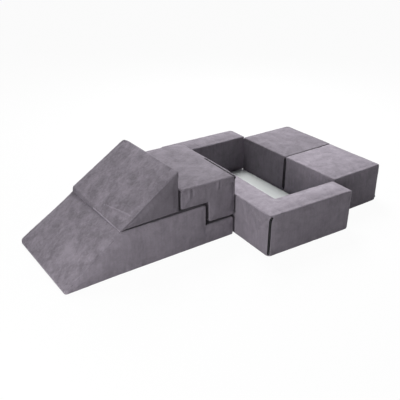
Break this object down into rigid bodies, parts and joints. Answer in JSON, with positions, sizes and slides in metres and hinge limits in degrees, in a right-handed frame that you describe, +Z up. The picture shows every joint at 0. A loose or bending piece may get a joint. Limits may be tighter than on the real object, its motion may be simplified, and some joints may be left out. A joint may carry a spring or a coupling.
{
  "type": "modular play sofa",
  "caption": "Modular foam play sofa in grey velour, set out as a slide that leads over a stepped block to a play pit walled by L-shaped bolsters and hinged seat blocks.",
  "frame": {"origin": "on the floor under the middle of the pit mat", "axes": "+X away from the slide, towards the seat blocks; +Y to the back; +Z up"},
  "size_m": [2.5352, 1.442, 0.5872],
  "materials": {
    "velour": "matte",
    "foam": "matte",
    "black_tape": "matte",
    "black_coil": "satin",
    "black_slider": "satin",
    "mat_fabric": "matte"
  },
  "bodies": {
    "ramp": {"ramp_cover": "velour", "ramp_foam": "foam", "ramp_zip_tape": "black_tape", "ramp_zip_coil": "black_coil"},
    "ramp_slider": {"ramp_zip_slider": "black_slider"},
    "crest_wedge": {"crest_wedge_cover": "velour", "crest_wedge_foam": "foam", "crest_wedge_zip_tape": "black_tape", "crest_wedge_zip_coil": "black_coil"},
    "crest_wedge_slider": {"crest_wedge_zip_slider": "black_slider"},
    "step_block": {"step_block_cover": "velour", "step_block_foam": "foam", "step_block_zip_tape": "black_tape", "step_block_zip_coil": "black_coil"},
    "step_block_slider": {"step_block_zip_slider": "black_slider"},
    "front_bolster": {"front_bolster_cover": "velour", "front_bolster_foam": "foam", "front_bolster_zip_tape": "black_tape", "front_bolster_zip_coil": "black_coil"},
    "front_bolster_slider": {"front_bolster_zip_slider": "black_slider"},
    "back_bolster": {"back_bolster_cover": "velour", "back_bolster_foam": "foam", "back_bolster_zip_tape": "black_tape", "back_bolster_zip_coil": "black_coil"},
    "back_bolster_slider": {"back_bolster_zip_slider": "black_slider"},
    "rear_seat": {"rear_seat_cover": "velour", "rear_seat_foam": "foam", "rear_seat_zip_tape": "black_tape", "rear_seat_zip_coil": "black_coil", "rear_seat_hinge_tape": "black_tape"},
    "rear_seat_slider": {"rear_seat_zip_slider": "black_slider"},
    "front_seat": {"front_seat_cover": "velour", "front_seat_foam": "foam", "front_seat_zip_tape": "black_tape", "front_seat_zip_coil": "black_coil", "front_seat_hinge_tape": "black_tape"},
    "front_seat_slider": {"front_seat_zip_slider": "black_slider"},
    "mat": {"pit_mat": "mat_fabric"}
  },
  "joints": [
    {"name": "seat_fold", "type": "hinge", "parent": "rear_seat", "child": "front_seat", "pos_m": [0.2703, 0.00261, 0.3003], "axis": [-0.999, -0.0436, 0], "range_deg": [0, 176]},
    {"name": "seats_pull_out", "type": "slide", "parent": "ramp", "child": "rear_seat", "axis": [0.999, 0.0436, 0], "range_m": [0, 0.5]},
    {"name": "crest_wedge_lift", "type": "slide", "parent": "ramp", "child": "crest_wedge", "axis": [0, 0, 1], "range_m": [0, 0.35]},
    {"name": "step_block_lift", "type": "slide", "parent": "ramp", "child": "step_block", "axis": [0, 0, 1], "range_m": [0, 0.35]},
    {"name": "front_bolster_pull_out", "type": "slide", "parent": "ramp", "child": "front_bolster", "axis": [0, -1, 0], "range_m": [0, 0.4]},
    {"name": "back_bolster_pull_out", "type": "slide", "parent": "ramp", "child": "back_bolster", "axis": [0, 1, 0], "range_m": [0, 0.4]},
    {"name": "mat_lift", "type": "slide", "parent": "ramp", "child": "mat", "axis": [0, 0, 1], "range_m": [0, 0.35]},
    {"name": "ramp_zip", "type": "slide", "parent": "ramp", "child": "ramp_slider", "axis": [0.999, 0.0436, 0], "range_m": [0, 0.58]},
    {"name": "crest_wedge_zip", "type": "slide", "parent": "crest_wedge", "child": "crest_wedge_slider", "axis": [0.999, 0.0436, 0], "range_m": [0, 0.2]},
    {"name": "step_block_zip", "type": "slide", "parent": "step_block", "child": "step_block_slider", "axis": [0, 0, 1], "range_m": [0, 0.24]},
    {"name": "front_bolster_zip", "type": "slide", "parent": "front_bolster", "child": "front_bolster_slider", "axis": [0, 0, 1], "range_m": [0, 0.24]},
    {"name": "back_bolster_zip", "type": "slide", "parent": "back_bolster", "child": "back_bolster_slider", "axis": [0, 0, 1], "range_m": [0, 0.24]},
    {"name": "rear_seat_zip", "type": "slide", "parent": "rear_seat", "child": "rear_seat_slider", "axis": [0, 0, 1], "range_m": [0, 0.24]},
    {"name": "front_seat_zip", "type": "slide", "parent": "front_seat", "child": "front_seat_slider", "axis": [0, 0, 1], "range_m": [0, 0.24]}
  ]
}
